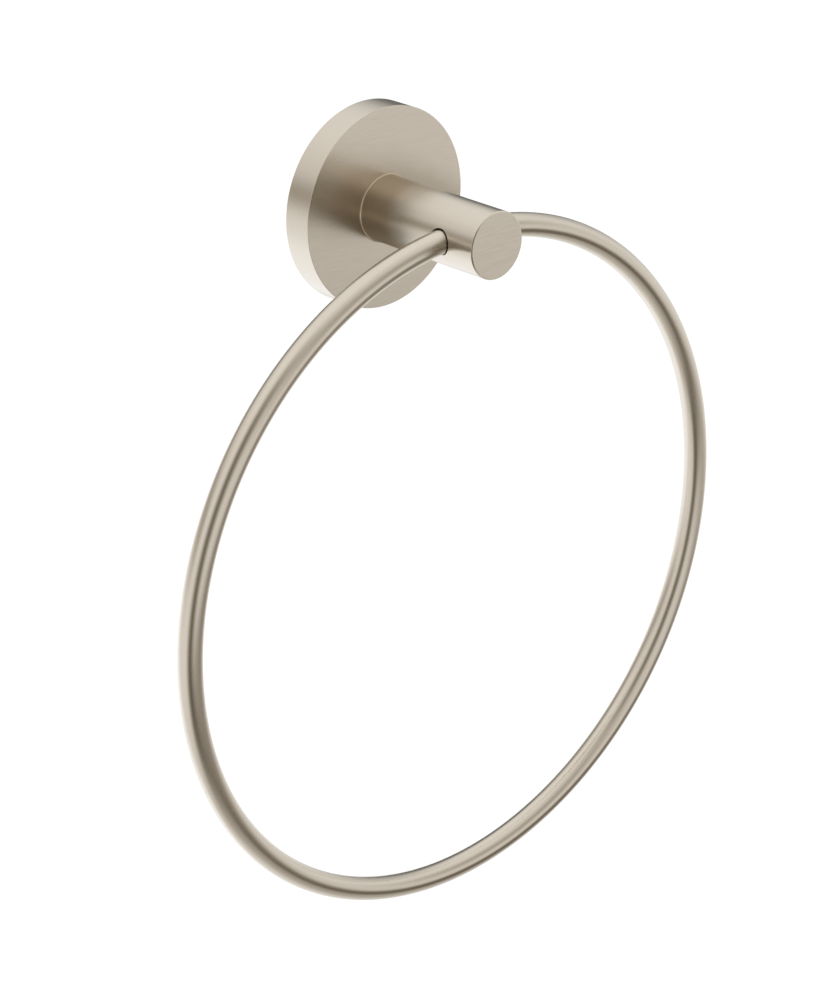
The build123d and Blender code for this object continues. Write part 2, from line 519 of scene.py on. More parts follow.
class Nodes:
    """Short forms for the nodes of a material or a world."""

    def __init__(self, owner: bpy.types.Material | bpy.types.World) -> None:
        """Empties the owner's tree.

        Args:
            owner: The material or the world.
        """
        owner.use_nodes = True
        self.tree = owner.node_tree
        self.tree.nodes.clear()

    def add(self, kind: str, inputs: dict[Any, Any] | None = None, **settings: Any) -> bpy.types.Node:
        """Adds a node.

        Args:
            kind: The node's type.
            inputs: Values or sockets for its inputs, by name or number.
            **settings: Values for the node's own fields.

        Returns:
            The node.
        """
        node = self.tree.nodes.new(kind)
        for name, value in settings.items():
            setattr(node, name, value)
        for name, value in (inputs or {}).items():
            if isinstance(value, bpy.types.NodeSocket):
                self.tree.links.new(value, node.inputs[name])
            else:
                node.inputs[name].default_value = value
        return node

    def math(self, operation: str, *values: Any) -> bpy.types.NodeSocket:
        """Adds a Math node and gives its result."""
        return self.add("ShaderNodeMath", dict(enumerate(values)), operation=operation).outputs[0]

    def vector(self, operation: str, *values: Any) -> bpy.types.NodeSocket:
        """Adds a Vector Math node and gives its result."""
        node = self.add("ShaderNodeVectorMath", dict(enumerate(values)), operation=operation)
        return node.outputs["Value" if operation == "LENGTH" else "Vector"]

    def combine(self, x: Any = 0.0, y: Any = 0.0, z: Any = 0.0) -> bpy.types.NodeSocket:
        """Joins three values into a vector."""
        return self.add("ShaderNodeCombineXYZ", {0: x, 1: y, 2: z}).outputs[0]

    def split(self, vector: bpy.types.NodeSocket) -> Sequence[bpy.types.NodeSocket]:
        """Splits a vector into its three values."""
        return self.add("ShaderNodeSeparateXYZ", {0: vector}).outputs

    def place(self) -> bpy.types.NodeSocket:
        """Gives the place in the object's own frame."""
        return self.add("ShaderNodeTexCoord").outputs["Object"]

    def ramp(
        self, value: Any, low: float, high: float, to_low: float = 0.0, to_high: float = 1.0
    ) -> bpy.types.NodeSocket:
        """Adds a smooth Map Range node and gives its result."""
        inputs = {0: value, 1: low, 2: high, 3: to_low, 4: to_high}
        return self.add("ShaderNodeMapRange", inputs, interpolation_type="SMOOTHSTEP").outputs[0]

    def dim(self, color: Any, share: bpy.types.NodeSocket, loss: Sequence[float]) -> bpy.types.NodeSocket:
        """Takes a share of a loss of red, green and blue from a colour."""
        left = self.vector("MULTIPLY_ADD", share, tuple(-part for part in loss), WHITE)
        return self.vector("MULTIPLY", color, left)

    def seen(self) -> bpy.types.NodeSocket:
        """Tells rays that show things from rays that only light them.

        Returns:
            1 for rays from the camera, from gloss and through glass, and 0 for the rest.
        """
        path = self.add("ShaderNodeLightPath").outputs
        some = self.math("MAXIMUM", path["Is Camera Ray"], path["Is Glossy Ray"])
        return self.math("MAXIMUM", some, path["Is Transmission Ray"])

    def output(self, shader: bpy.types.Node, kind: str = "ShaderNodeOutputMaterial") -> None:
        """Sends a shader to the tree's output."""
        self.add(kind, {"Surface": shader.outputs[0]})


@dataclass(frozen=True)
class PaintedCornerShade:
    """Painted shade toward an inner corner: a darker, browner colour that stands in for the shade falling
    there.

    Attributes:
        color: Share of each colour left in the painted shade of the corner.
        full: Depth up to which the painted shade is whole.
        end: Depth where it is gone.
    """

    color: Triple
    full: float
    end: float

    def over(self, nodes: Nodes, color: bpy.types.NodeSocket) -> bpy.types.NodeSocket:
        """Lays the painted shade over a colour."""
        share = nodes.ramp(nodes.split(nodes.place())[1], -self.end, -self.full)
        return nodes.dim(color, share, [1 - part for part in self.color])


@dataclass(frozen=True)
class BrushedMetal:
    """A brushed metal: fine lines one way, seen as streaks up close and as a stretched gloss from afar.

    Attributes:
        slot: The record's slot that the finish stands for.
        color: Base colour, linear.
        shade: Share of brightness lost in the darkest streaks.
        roughness: Mean roughness.
        roughness_spread: How far the streaks move the roughness.
        stretch: How much the gloss is stretched across the lines.
        line_width: Width of a streak.
        line_length: Length of a streak.
        relief: Height of the lines as bump.
        turned_share: How much of the streaks is left on turned sides.
    """

    NOISE_DETAIL: ClassVar[float] = 2.0
    NOISE_ROUGHNESS: ClassVar[float] = 0.6
    DARKEST_NOISE: ClassVar[float] = 0.3
    LIGHTEST_NOISE: ClassVar[float] = 0.7

    slot: Slot
    color: Triple
    shade: float
    roughness: float
    roughness_spread: float
    stretch: float
    line_width: float
    line_length: float
    relief: float
    turned_share: float = 1.0

    def _lines(self, nodes: Nodes, brush: Brush, hoop_middle: float) -> tuple[bpy.types.NodeSocket, ...]:
        """Lays out coordinates that run slowly along the lines and fast across them.

        Args:
            nodes: The material's nodes.
            brush: Which way the lines run.
            hoop_middle: Height of the middle of the ring's hoop.

        Returns:
            The coordinates for the streaks, and the way across the lines.
        """
        fine, slow = 1 / self.line_width, 1 / self.line_length
        if brush in (Brush.LEVEL, Brush.PLAIN):
            level = slow if brush is Brush.LEVEL else fine
            return nodes.vector("MULTIPLY", nodes.place(), (level, fine, fine)), nodes.combine(z=1.0)
        x, y, z = nodes.split(nodes.vector("ADD", nodes.place(), (0, 0, -hoop_middle)))
        flat = nodes.combine(x=x, z=z)
        reach = nodes.vector("LENGTH", flat)
        if brush is Brush.ROUND_POST:
            lines, scale = (x, nodes.math("SUBTRACT", reach, y), z), (slow, fine, slow)
            across = nodes.vector("ADD", nodes.vector("NORMALIZE", flat), (0, 1, 0))
        else:
            down = nodes.math("MULTIPLY", z, -1.0)
            lines, scale = (nodes.math("ARCTAN2", x, down), y, reach), (-hoop_middle * fine, slow, slow)
            across = nodes.combine(x=down, z=x)
        return nodes.vector("MULTIPLY", nodes.combine(*lines), scale), across

    def material(
        self, brush: Brush, hoop_middle: float = 0.0, painted_shade: PaintedCornerShade | None = None
    ) -> bpy.types.Material:
        """Makes the material.

        Args:
            brush: Which way the lines run.
            hoop_middle: Height of the middle of the ring's hoop.
            painted_shade: The painted shade of an inner corner, if there is one.

        Returns:
            The material.
        """
        made = bpy.data.materials.new(f"{self.slot.value}_{brush.name.lower()}")
        nodes = Nodes(made)
        space, across = self._lines(nodes, brush, hoop_middle)
        to_world = {"vector_type": "VECTOR", "convert_from": "OBJECT", "convert_to": "WORLD"}
        tangent = nodes.add("ShaderNodeVectorTransform", {0: across}, **to_world)
        grain = {"Scale": 1.0, "Detail": self.NOISE_DETAIL, "Roughness": self.NOISE_ROUGHNESS}
        noise = nodes.add("ShaderNodeTexNoise", {"Vector": space, **grain})
        streak = nodes.ramp(noise.outputs["Fac"], self.DARKEST_NOISE, self.LIGHTEST_NOISE)
        share = self.turned_share if brush in (Brush.ROUND_POST, Brush.ROUND_ROD) else 1.0
        dark = (part * (1 - share * self.shade) for part in self.color)
        tints = {0: streak, "A": (*dark, 1.0), "B": (*self.color, 1.0)}
        color = nodes.add("ShaderNodeMix", tints, data_type="RGBA").outputs["Result"]
        spread = share * self.roughness_spread
        relief = {"Height": streak, "Distance": share * self.relief, "Strength": 1.0}
        inputs = {
            # The base colour takes the painted shade of an inner corner, where one is given.
            "Base Color": painted_shade.over(nodes, color) if painted_shade else color,
            "Metallic": 1.0,
            "Roughness": nodes.ramp(streak, 0.0, 1.0, self.roughness + spread, self.roughness - spread),
            "Anisotropic": self.stretch if brush is not Brush.PLAIN else 0.0,
            "Tangent": tangent.outputs[0],
            "Normal": nodes.add("ShaderNodeBump", relief).outputs[0],
        }
        nodes.output(nodes.add("ShaderNodeBsdfPrincipled", inputs))
        return made


SATIN_NICKEL = BrushedMetal(
    slot=Slot.NICKEL,
    color=(0.65, 0.592, 0.505),
    shade=0.045,
    roughness=0.26,
    roughness_spread=0.01,
    stretch=0.55,
    line_width=0.30 * MM,
    line_length=7.0 * MM,
    relief=0.0001 * MM,
    turned_share=0.3,
)
ZINC_PLATE = BrushedMetal(
    slot=Slot.ZINC,
    color=(0.60, 0.61, 0.62),
    shade=0.12,
    roughness=0.34,
    roughness_spread=0.05,
    stretch=0.3,
    line_width=0.18 * MM,
    line_length=14.0 * MM,
    relief=0.0006 * MM,
)
SCREW_STEEL = BrushedMetal(
    slot=Slot.STEEL,
    color=(0.50, 0.50, 0.50),
    shade=0.10,
    roughness=0.30,
    roughness_spread=0.05,
    stretch=0.2,
    line_width=0.10 * MM,
    line_length=4.0 * MM,
    relief=0.0004 * MM,
)


@dataclass
class Piece(ABC):
    """A piece that is built and dressed in place of a solid, with its main sizes from the frame.

    Attributes:
        sides: Points round the piece.
        axis: The axis that it is turned about.
        skin: Its mesh, while it is built.
        radius: Half the solid's width, from the frame.
        back: Depth of its back, from the frame.
        front: Depth of its front, from the frame.
        bottom: Height of its lowest point, from the frame.
        top: Height of its highest point, from the frame.
    """

    NAME: ClassVar[str]
    NODE: ClassVar[str]
    BODY: ClassVar[Body] = Body.FIXED
    FINISH: ClassVar[BrushedMetal] = SATIN_NICKEL
    BRUSHES: ClassVar[tuple[Brush, ...]] = (Brush.ROUND_POST,)

    sides: int = 256
    axis: Spindle = POST_AXIS
    skin: Skin = field(init=False, default_factory=Skin)
    radius: float = field(init=False)
    back: float = field(init=False)
    front: float = field(init=False)
    bottom: float = field(init=False)
    top: float = field(init=False)

    def __post_init__(self) -> None:
        """Reads the solid's size and place from the frame."""
        low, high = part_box(self.NODE)
        self.radius = (high.x - low.x) / 2
        self.back, self.front = -high.y, -low.y
        self.bottom, self.top = low.z, high.z

    @property
    def angles(self) -> np.ndarray:
        """One turn of angles, a step for each side."""
        return np.linspace(0, FULL_TURN, self.sides + 1)

    def turn(self, *stretches: Stretch, look: Look = Look.MAIN) -> None:
        """Adds stretches of an outline, turned about the piece's axis."""
        self.axis.turn(self.skin, stretches, self.angles, look)

    @abstractmethod
    def build(self) -> None:
        """Builds the mesh."""

    def dress(self) -> list[bpy.types.Material]:
        """Makes the looks, in the order of their numbers."""
        return [self.FINISH.material(brush) for brush in self.BRUSHES]

    def make(self) -> bpy.types.Object:
        """Builds and dresses the piece, and hangs it on its body in place of its solid.

        Returns:
            The piece.
        """
        self.build()
        piece = self.skin.build(self.NAME, self.dress())
        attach(piece, self.BODY.value)
        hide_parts(self.NODE)
        return piece


@dataclass
class Ring(Piece):
    """The hoop of round rod, with a stub at each end that turns in the post.

    Attributes:
        bend_radius: Radius of the bend between a stub and the hoop.
        stub_straight: From the post's axis to where a stub starts to bend.
        stub_end: From the post's axis to a stub's end.
        end_bevel: Bevel at a stub's end.
        hoop_steps: Steps along the hoop.
        bend_steps: Steps along a bend.
        rod: Radius of the rod, from the frame.
        hoop: Radius of the hoop's middle line, from the frame.
        standoff: Distance of the ring from the wall, from the frame.
        middle: Height of the hoop's middle, from the frame.
    """

    NAME = "ring_rod"
    NODE = "ring"
    BODY = Body.SWINGING

    sides: int = 64
    bend_radius: float = 30.0 * MM
    stub_straight: float = 6.0 * MM
    stub_end: float = 3.6 * MM
    end_bevel: float = 0.5 * MM
    hoop_steps: int = 720
    bend_steps: int = 8
    rod: float = field(init=False)
    hoop: float = field(init=False)
    standoff: float = field(init=False)
    middle: float = field(init=False)

    def __post_init__(self) -> None:
        """Works out the rod and the hoop."""
        super().__post_init__()
        self.rod = (self.front - self.back) / 2
        self.standoff = (self.front + self.back) / 2
        self.hoop = self.radius - self.rod
        self.middle = self.bottom + self.rod + self.hoop

    def _path(self) -> tuple[np.ndarray, np.ndarray]:
        """Follows the rod's middle from one stub's bevel to the other.

        Returns:
            The points, and the outward way in the ring's plane at each.
        """
        bend = math.asin(self.stub_straight / (self.hoop - self.bend_radius))
        curve = np.linspace(0, bend, self.bend_steps + 1)[:-1]
        round_hoop = np.linspace(bend, FULL_TURN - bend, self.hoop_steps + 1)
        turns = np.concatenate([curve, round_hoop, FULL_TURN - curve[::-1]])
        ways = np.stack([np.sin(turns), 0 * turns, np.cos(turns)], axis=-1)
        points = np.array([0.0, -self.standoff, self.middle]) + self.hoop * ways
        for chosen, side in ((turns < bend, 1), (turns > FULL_TURN - bend, -1)):
            centre = np.array([side * self.stub_straight, -self.standoff, -self.bend_radius])
            points[chosen] = centre + self.bend_radius * ways[chosen]
        stub = np.array([self.stub_end + self.end_bevel, -self.standoff, 0.0])
        points = np.concatenate([[stub], points, [stub * (-1, 1, 1)]])
        return points, np.concatenate([ways[:1], ways, ways[-1:]])

    def build(self) -> None:
        """Builds the ring's mesh."""
        middles, outward = self._path()
        angles = self.angles[:, None]
        normals = np.cos(angles) * outward[:, None] + np.sin(angles) * np.array(INTO_WALL)
        surface = middles[:, None] + self.rod * normals
        self.skin.sheet(surface, normals)
        for end, side in ((0, -1.0), (-1, 1.0)):
            facing = np.array([side, 0.0, 0.0])
            centre = middles[end] + self.end_bevel * facing
            rim = centre + (self.rod - self.end_bevel) * normals[end]
            self.skin.band(surface[end], rim, normals[end] + facing)
            self.skin.band(rim, np.broadcast_to(centre, rim.shape), facing)

    def dress(self) -> list[bpy.types.Material]:
        """Makes the look of the rod."""
        return [self.FINISH.material(Brush.ROUND_ROD, self.middle)]


@dataclass
class Post(Piece):
    """The turned post, with a blind socket on each side for the ring's stubs.

    Attributes:
        end_bevel: Bevel round the end face.
        bevel_round: Rounding of the bevel's two edges.
        foot_fillet: Radius of the fillet where the post meets the rose's face.
        foot_round: Rounding of the edge round the foot.
        socket_radius: Radius of a socket.
        socket_floor: From the post's axis to a socket's floor.
        mouth_break: Bevel round a socket's mouth.
        tapped_radius: Radius of the tapped hole behind.
        tapped_end: Depth of the tapped hole's end.
        painted_shade_color: Share of each colour left in the painted shade at the foot.
        painted_shade_full: How far from the rose's face the painted shade at the foot is whole.
        painted_shade_end: How far from it the painted shade is gone.
        window_half: Points from a socket's middle to the border of its window.
        foot_rows: Rows of points between the foot and the windows.
        shoulder: Depth of the rose's face, from the frame.
        sockets: Depth of the sockets' middle line, from the frame.
    """

    NAME = "post_bar"
    NODE = "post"

    end_bevel: float = 0.3 * MM
    bevel_round: float = 0.1 * MM
    foot_fillet: float = 0.34 * MM
    foot_round: float = 0.3 * MM
    socket_radius: float = 3.48 * MM
    socket_floor: float = 3.2 * MM
    mouth_break: float = 0.05 * MM
    tapped_radius: float = 3.05 * MM
    tapped_end: float = 21.8 * MM
    # Painted shade: the side turns darker and browner toward the rose's face.
    painted_shade_color: Triple = (0.86, 0.80, 0.72)
    painted_shade_full: float = 8.0 * MM
    painted_shade_end: float = 13.5 * MM
    window_half: int = 24
    foot_rows: int = 8
    shoulder: float = field(init=False)
    sockets: float = field(init=False)

    def __post_init__(self) -> None:
        """Reads the rose's face and the ring's place too."""
        super().__post_init__()
        self.shoulder = -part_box("rose")[0].y
        self.sockets = -sum(corner.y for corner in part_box("ring")) / 2

    def _side(self, side: Stretch) -> None:
        """Adds the side, with both sockets.

        Args:
            side: The side's stretch of the outline, which runs towards the wall.
        """
        last, first = side.points[:, 1]
        reach = self.radius * self.window_half * FULL_TURN / self.sides
        sheet = PiercedSheet(
            surface=partial(POST_AXIS.wall, self.radius, 1.0),
            turns=self.angles,
            before=np.linspace(first, self.sockets - reach, self.foot_rows + 1)[:-1],
            last=last,
            middle=self.sockets,
            reach=reach,
            half=self.window_half,
            scale=self.radius,
            look=Look.SIDE,
        )
        mouth = self.socket_radius + self.mouth_break
        holes = [CrossHole(turn, self.sockets) for turn in BOTH_SIDES]
        edges = {hole.turn: partial(hole.edge, self.radius, mouth) for hole in holes}
        for hole, angles in zip(holes, sheet.add(self.skin, edges)):
            self._socket(hole, mouth, angles)

    def _socket(self, hole: CrossHole, mouth: float, angles: np.ndarray) -> None:
        """Adds a socket: its broken edge, wall and floor.

        Args:
            hole: The socket's place.
            mouth: Radius of its mouth.
            angles: Where the mouth's edge has points.
        """
        axis = hole.axis()
        wall_top = hole.height(self.radius, self.socket_radius, angles) - self.mouth_break
        rows = [
            axis.points(mouth, hole.height(self.radius, mouth, angles), angles),
            axis.points(self.socket_radius, wall_top, angles),
            axis.points(self.socket_radius, self.socket_floor, angles),
            axis.points(0.0, self.socket_floor, angles),
        ]
        for first, last, way in zip(rows, rows[1:], ((-1.0, 1.0), (-1.0, 0.0), (0.0, 1.0))):
            self.skin.band(first, last, axis.ways(*way, angles), Look.SIDE)

    def build(self) -> None:
        """Builds the post's mesh."""
        face, inner_edge, bevel, outer_edge, side, fillet, *behind = outline([
            Corner(0.0, self.front),
            Corner(self.radius - self.end_bevel, self.front, self.bevel_round),
            Corner(self.radius, self.front - self.end_bevel, self.bevel_round),
            Corner(self.radius, self.shoulder, self.foot_fillet),
            Corner(self.radius + self.foot_fillet, self.shoulder),
            Corner(self.radius, self.shoulder),
            Corner(self.radius, self.back, self.foot_round),
            Corner(self.tapped_radius, self.back),
            Corner(self.tapped_radius, self.tapped_end),
            Corner(0.0, self.tapped_end),
        ])
        self.turn(face)
        self.turn(fillet, look=Look.SIDE)
        self.turn(inner_edge, bevel, outer_edge, *behind, look=Look.EDGE)
        self._side(side)

    def dress(self) -> list[bpy.types.Material]:
        """Makes the looks.

        Returns:
            The look of the end face, of the side with the foot's tone, and of the edges.
        """
        # Painted shade over the side near the foot, where the post meets the rose's face.
        painted_shade = PaintedCornerShade(self.painted_shade_color, self.shoulder + self.painted_shade_full, self.shoulder + self.painted_shade_end)
        face, edges = self.FINISH.material(Brush.LEVEL), self.FINISH.material(Brush.ROUND_POST)
        return [face, self.FINISH.material(Brush.ROUND_POST, painted_shade=painted_shade), edges]


@dataclass
class Rose(Piece):
    """The turned cup over the bracket, with the post's seat in its face and the set screw's hole below.

    Attributes:
        face_wall: Thickness of the face.
        skirt_wall: Thickness of the skirt.
        edge_round: Rounding of the edge round the face.
        seat_depth: Depth of the post's seat.
        seat_clearance: Room round the post in its seat.
        seat_bevel: Bevel round the seat.
        screw_hole: Radius of the hole for the post screw.
        set_screw_hole: Radius of the hole for the set screw.
        set_screw_depth: Depth of that hole's axis.
        window_reach: Half the height of the window round that hole, in radii of the hole.
        window_half: Points from the hole's middle to the border of its window.
        seat: Radius of the seat, from the frame.
    """

    NAME = "rose_cup"
    NODE = "rose"
    BRUSHES = (Brush.LEVEL, Brush.ROUND_POST)

    sides: int = 384
    face_wall: float = 3.0 * MM
    skirt_wall: float = 3.2 * MM
    edge_round: float = 0.12 * MM
    seat_depth: float = 1.0 * MM
    seat_clearance: float = 0.05 * MM
    seat_bevel: float = 0.3 * MM
    screw_hole: float = 3.3 * MM
    set_screw_hole: float = 2.05 * MM
    set_screw_depth: float = 3.0 * MM
    window_reach: float = 1.12
    window_half: int = 6
    seat: float = field(init=False)

    def __post_init__(self) -> None:
        """Reads the post's size too."""
        super().__post_init__()
        post_low, post_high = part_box("post")
        self.seat = (post_high.x - post_low.x) / 2 + self.seat_clearance

    def _skirt(self, hole: CrossHole, wall: float, outward: float, last: float) -> np.ndarray:
        """Adds one side of the skirt, with the set screw's hole.

        Args:
            hole: The hole's place.
            wall: The side's radius.
            outward: 1 for the outside and -1 for the inside.
            last: Depth where it ends; it starts at the wall.

        Returns:
            The angles round the hole at which its edge has points.
        """
        sheet = PiercedSheet(
            surface=partial(POST_AXIS.wall, wall, outward),
            turns=self.angles,
            before=(0.0,),
            last=last,
            middle=hole.depth,
            reach=self.set_screw_hole * self.window_reach,
            half=self.window_half,
            scale=self.radius,
            look=Look.SIDE,
        )
        return sheet.add(self.skin, {hole.turn: partial(hole.edge, wall, self.set_screw_hole)})[0]

    def build(self) -> None:
        """Builds the rose's mesh."""
        cup_depth, cup_radius = self.front - self.face_wall, self.radius - self.skirt_wall
        floor = self.front - self.seat_depth
        hole, ledge, seat, bevel, face, edge, outside, back, inside, roof = outline([
            Corner(self.screw_hole, cup_depth),
            Corner(self.screw_hole, floor),
            Corner(self.seat, floor),
            Corner(self.seat, self.front - self.seat_bevel),
            Corner(self.seat + self.seat_bevel, self.front),
            Corner(self.radius, self.front, self.edge_round),
            Corner(self.radius, 0.0),
            Corner(cup_radius, 0.0),
            Corner(cup_radius, cup_depth),
            Corner(self.screw_hole, cup_depth),
        ])
        self.turn(face)
        self.turn(hole, ledge, seat, bevel, edge, back, roof, look=Look.SIDE)
        drilled = CrossHole(BELOW, self.set_screw_depth)
        around = self._skirt(drilled, self.radius, 1.0, outside.points[0, 1])
        self._skirt(drilled, cup_radius, -1.0, inside.points[1, 1])
        axis, drill = drilled.axis(), self.set_screw_hole
        ends = [drilled.height(wall, drill, around) for wall in (self.radius, cup_radius)]
        rims = [axis.points(drill, end, around) for end in ends]
        self.skin.band(*rims, axis.ways(-1.0, 0.0, around), Look.SIDE)


@dataclass
class PostScrew(Piece):
    """The low socket-head screw that pulls the post onto the rose from behind.

    Attributes:
        shank: Radius of the shank.
        pitch: Pitch of the thread.
        length: Length under the head.
        plain: Plain shank under the head.
        head_edge: Straight edge under the bevelled side of the head.
        crown: Radius of the flat on the head.
        hex_flats: Width of the socket across flats.
        hex_depth: Depth of the socket.
        tip_bevel: Bevel at the tip.
    """

    NAME = "post_screw_m6"
    NODE = "post_screw"
    FINISH = SCREW_STEEL

    sides: int = SCREW_SIDES
    shank: float = 3.0 * MM
    pitch: float = 1.0 * MM
    length: float = 16.0 * MM
    plain: float = 1.2 * MM
    head_edge: float = 0.5 * MM
    crown: float = 3.2 * MM
    hex_flats: float = 4.0 * MM
    hex_depth: float = 2.0 * MM
    tip_bevel: float = 0.6 * MM

    def build(self) -> None:
        """Builds the screw's mesh."""
        seat = self.front - self.length
        tip, _, shank, under, edge, slant = outline([
            Corner(0.0, self.front),
            Corner(self.shank - self.tip_bevel, self.front),
            Corner(self.shank, seat + self.plain),
            Corner(self.shank, seat),
            Corner(self.radius, seat),
            Corner(self.radius, seat - self.head_edge),
            Corner(self.crown, self.back),
        ])
        self.turn(tip, shank, under, edge, slant)
        thread = Thread(self.shank, self.pitch, seat + self.plain, self.front, self.tip_bevel)
        thread.add(self.skin, self.axis, self.angles)
        socket = HexSocket(self.hex_flats, self.back, self.back + self.hex_depth)
        socket.add(self.skin, self.axis, self.crown, FULL_TURN / HexSocket.CORNERS / 2)


@dataclass
class LockWasher(Piece):
    """The split washer under the post screw's head, pressed flat.

    Attributes:
        bore: Radius of the bore.
        slit: Width of the slit.
        slant: Slant of the slit.
    """

    NAME = "lock_washer_split"
    NODE = "lock_washer"
    FINISH = SCREW_STEEL

    sides: int = 120
    bore: float = 3.15 * MM
    slit: float = 1.0 * MM
    slant: float = math.radians(25.0)

    def _turns(self, radius: float, depth: float) -> np.ndarray:
        """Gives the turns of one edge, from the slit round to the slit.

        Args:
            radius: The edge's radius.
            depth: Its depth.

        Returns:
            The turns.
        """
        middle = (depth - (self.back + self.front) / 2) * math.tan(self.slant)
        half = self.slit / 2 / math.cos(self.slant)
        first, last = math.asin((middle + half) / radius), math.asin((middle - half) / radius)
        return np.linspace(first, FULL_TURN + last, self.sides + 1)

    def build(self) -> None:
        """Builds the washer's mesh."""
        section = [(self.bore, self.back), (self.radius, self.back)]
        section += [(self.radius, self.front), (self.bore, self.front)]
        turns = [self._turns(*corner) for corner in section]
        edges = [POST_AXIS.points(*corner, row) for corner, row in zip(section, turns)]
        for k, way in enumerate(((0.0, -1.0), (1.0, 0.0), (0.0, 1.0), (-1.0, 0.0))):
            pair = (k, (k + 1) % len(section))
            normals = np.stack([POST_AXIS.ways(*way, turns[edge]) for edge in pair])
            self.skin.band(*(edges[edge] for edge in pair), normals)
        for end, side in ((0, -1.0), (-1, 1.0)):
            a, b, c, d = (edge[end] for edge in edges)
            across = side * np.array([math.cos(self.slant), math.sin(self.slant), 0.0])
            self.skin.sheet(np.array([[a, b], [d, c]]), across)


@dataclass
class SetScrew(Piece):
    """The cone-point grub screw in the underside of the rose.

    Attributes:
        pitch: Pitch of the thread.
        hex_flats: Width of the socket across flats.
        hex_depth: Depth of the socket.
        end_bevel: Bevel at the outer end.
        length: Length to the point, from the frame.
    """

    NAME = "set_screw_m4"
    NODE = "rose_set_screw"
    FINISH = SCREW_STEEL
    BRUSHES = (Brush.PLAIN,)

    sides: int = SCREW_SIDES
    pitch: float = 0.7 * MM
    hex_flats: float = 2.0 * MM
    hex_depth: float = 1.6 * MM
    end_bevel: float = 0.3 * MM
    length: float = field(init=False)

    def __post_init__(self) -> None:
        """Works out the length and the screw's own axis."""
        super().__post_init__()
        self.length = self.top - self.bottom
        outer_end = (0.0, -(self.back + self.front) / 2, self.bottom)
        self.axis = Spindle(outer_end, along=(0.0, 0.0, 1.0), start=(1.0, 0.0, 0.0))

    def build(self) -> None:
        """Builds the screw's mesh."""
        cone_foot, crown = self.length - self.radius, self.radius - self.end_bevel
        cone, _, bevel = outline([
            Corner(0.0, self.length),
            Corner(self.radius, cone_foot),
            Corner(self.radius, self.end_bevel),
            Corner(crown, 0.0),
        ])
        self.turn(cone, bevel)
        Thread(self.radius, self.pitch, self.end_bevel, cone_foot).add(self.skin, self.axis, self.angles)
        HexSocket(self.hex_flats, 0.0, self.hex_depth).add(self.skin, self.axis, crown, 0.0)


@dataclass
class WallBracket(Piece):
    """The turned disc on the wall, with a slanted rim, an opening and two countersunk holes.

    Attributes:
        undercut: How much smaller the radius is at the wall.
        opening: Radius of the opening for the post screw.
        hole: Radius of a wall screw's hole.
        sink: Radius of its countersink.
        window_reach: Half the height of the window round a hole, in radii of the countersink.
        window_half: Points from a hole's middle to the border of its window.
        hole_circle: Distance of a hole's middle from the post's axis, from the frame.
    """

    NAME = "wall_bracket_disc"
    NODE = "wall_bracket"
    FINISH = ZINC_PLATE

    undercut: float = 2.4 * MM
    opening: float = 8.8 * MM
    hole: float = 2.25 * MM
    sink: float = 4.3 * MM
    window_reach: float = 1.25
    window_half: int = 16
    hole_circle: float = field(init=False)

    def __post_init__(self) -> None:
        """Puts the holes midway between the opening and the rim at the wall."""
        super().__post_init__()
        self.hole_circle = (self.opening + self.radius - self.undercut) / 2

    def _edge(self, turn: float, radius: float, angles: np.ndarray) -> np.ndarray:
        """Gives a hole's edge on a flat, as turns and radii, for angles round the hole."""
        aside, outward = -radius * np.sin(angles), self.hole_circle + radius * np.cos(angles)
        return np.stack([turn + np.arctan2(aside, outward), np.hypot(aside, outward)], axis=-1)

    def _flat(self, outer: float, depth: float, facing: float, hole: float) -> list[np.ndarray]:
        """Adds the front or the back, with both holes.

        Args:
            outer: The flat's outer radius.
            depth: Its depth.
            facing: 1 for the front and -1 for the back.
            hole: Radius of the holes in it.

        Returns:
            For each hole, the angles at which its edge has points.
        """
        sheet = PiercedSheet(
            surface=partial(POST_AXIS.flat, depth, facing),
            turns=self.angles,
            before=(self.opening,),
            last=outer,
            middle=self.hole_circle,
            reach=self.sink * self.window_reach,
            half=self.window_half,
            scale=self.hole_circle,
        )
        return sheet.add(self.skin, {turn: partial(self._edge, turn, hole) for turn in BOTH_SIDES})

    def build(self) -> None:
        """Builds the bracket's mesh."""
        back_radius = self.radius - self.undercut
        opening, _, rim = outline([
            Corner(self.opening, 0.0),
            Corner(self.opening, self.front),
            Corner(self.radius, self.front),
            Corner(back_radius, 0.0),
        ])
        self.turn(opening, rim)
        around = self._flat(self.radius, self.front, 1.0, self.sink)
        self._flat(back_radius, 0.0, -1.0, self.hole)
        countersunk = outline([
            Corner(self.sink, 0.0),
            Corner(self.hole, self.sink - self.hole),
            Corner(self.hole, self.front),
        ])
        for turn, angles in zip(BOTH_SIDES, around):
            mouth = POST_AXIS.points(self.hole_circle, self.front, turn)
            axis = Spindle(tuple(mouth), INTO_WALL, tuple(POST_AXIS.ways(1.0, 0.0, turn)))
            axis.turn(self.skin, countersunk, angles)


@dataclass(frozen=True)
class Flag:
    """A soft-edged dark patch on the net round the object, which the metal sees in place of white.

    Attributes:
        at: Azimuth and elevation of its middle, in degrees, from straight in front to the right and up.
        size: Its width and height, in degrees of azimuth and elevation.
        fade: Width of the soft edge at its sides, and above and below, in the same degrees.
        shade: Share of the light that it takes.
        tint: How the shade is shared between the colours.
    """

    at: tuple[float, float]
    size: tuple[float, float]
    fade: tuple[float, float]
    shade: float
    tint: Tint = Tint.WARM


@dataclass(frozen=True)
class Lamp:
    """A square soft lamp that faces the object.

    Attributes:
        name: The lamp's name.
        at: Azimuth and elevation of the way to it, in degrees, from straight in front to the right and up.
        distance: Its distance from the object.
        size: Its side.
        power: Its power.
        color: Its colour.
    """

    name: str
    at: tuple[float, float]
    distance: float
    size: float
    power: float
    color: Triple = WHITE


